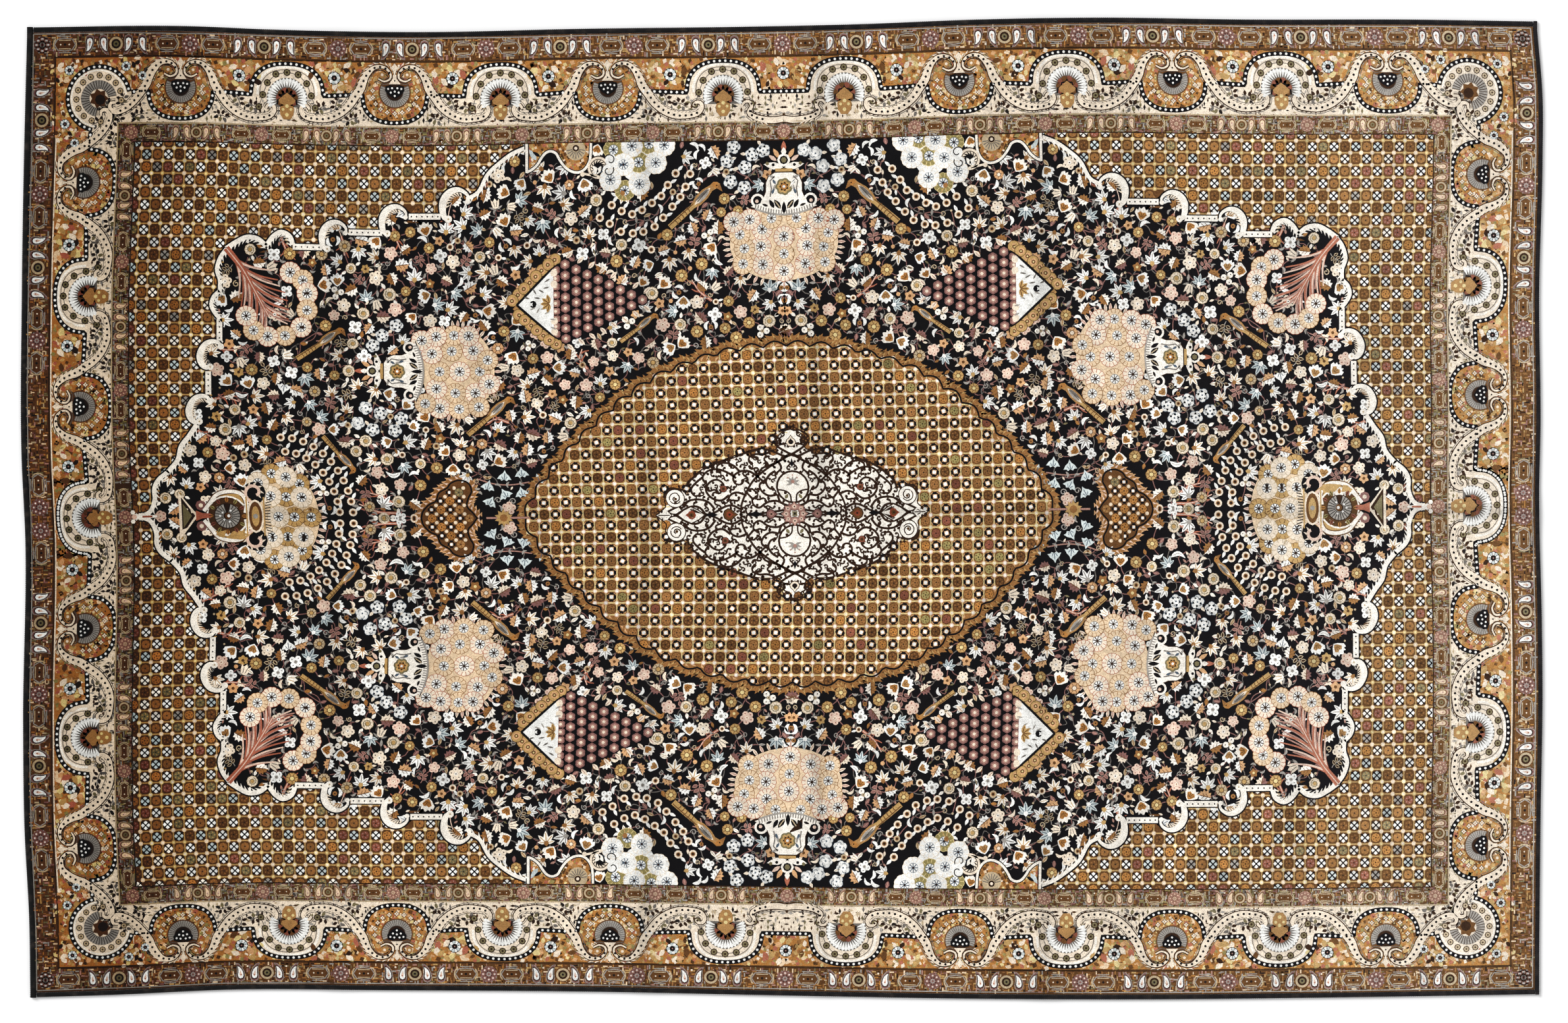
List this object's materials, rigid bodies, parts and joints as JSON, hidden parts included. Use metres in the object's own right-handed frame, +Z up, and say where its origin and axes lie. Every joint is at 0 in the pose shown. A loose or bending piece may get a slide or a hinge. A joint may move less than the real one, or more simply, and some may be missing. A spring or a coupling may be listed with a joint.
{
  "type": "persian rug",
  "caption": "Flat rectangular knotted pile rug with a floral medallion design, layered borders and a dark wrapped cord edge.",
  "frame": {"origin": "centre of the underside, under the middle of the rug's outline", "axes": "+X along the rug's length, +Y across its width, +Z up from the floor"},
  "size_m": [3.0601, 1.975, 0.0106],
  "materials": {
    "pile": "soft short cut pile with a slight silky sheen",
    "edge_yarn": "matt wound yarn"
  },
  "bodies": {
    "root": {"rug_body": "pile", "end_binding_left": "edge_yarn", "end_binding_right": "edge_yarn", "side_binding_top": "edge_yarn", "side_binding_bottom": "edge_yarn"}
  },
  "joints": []
}
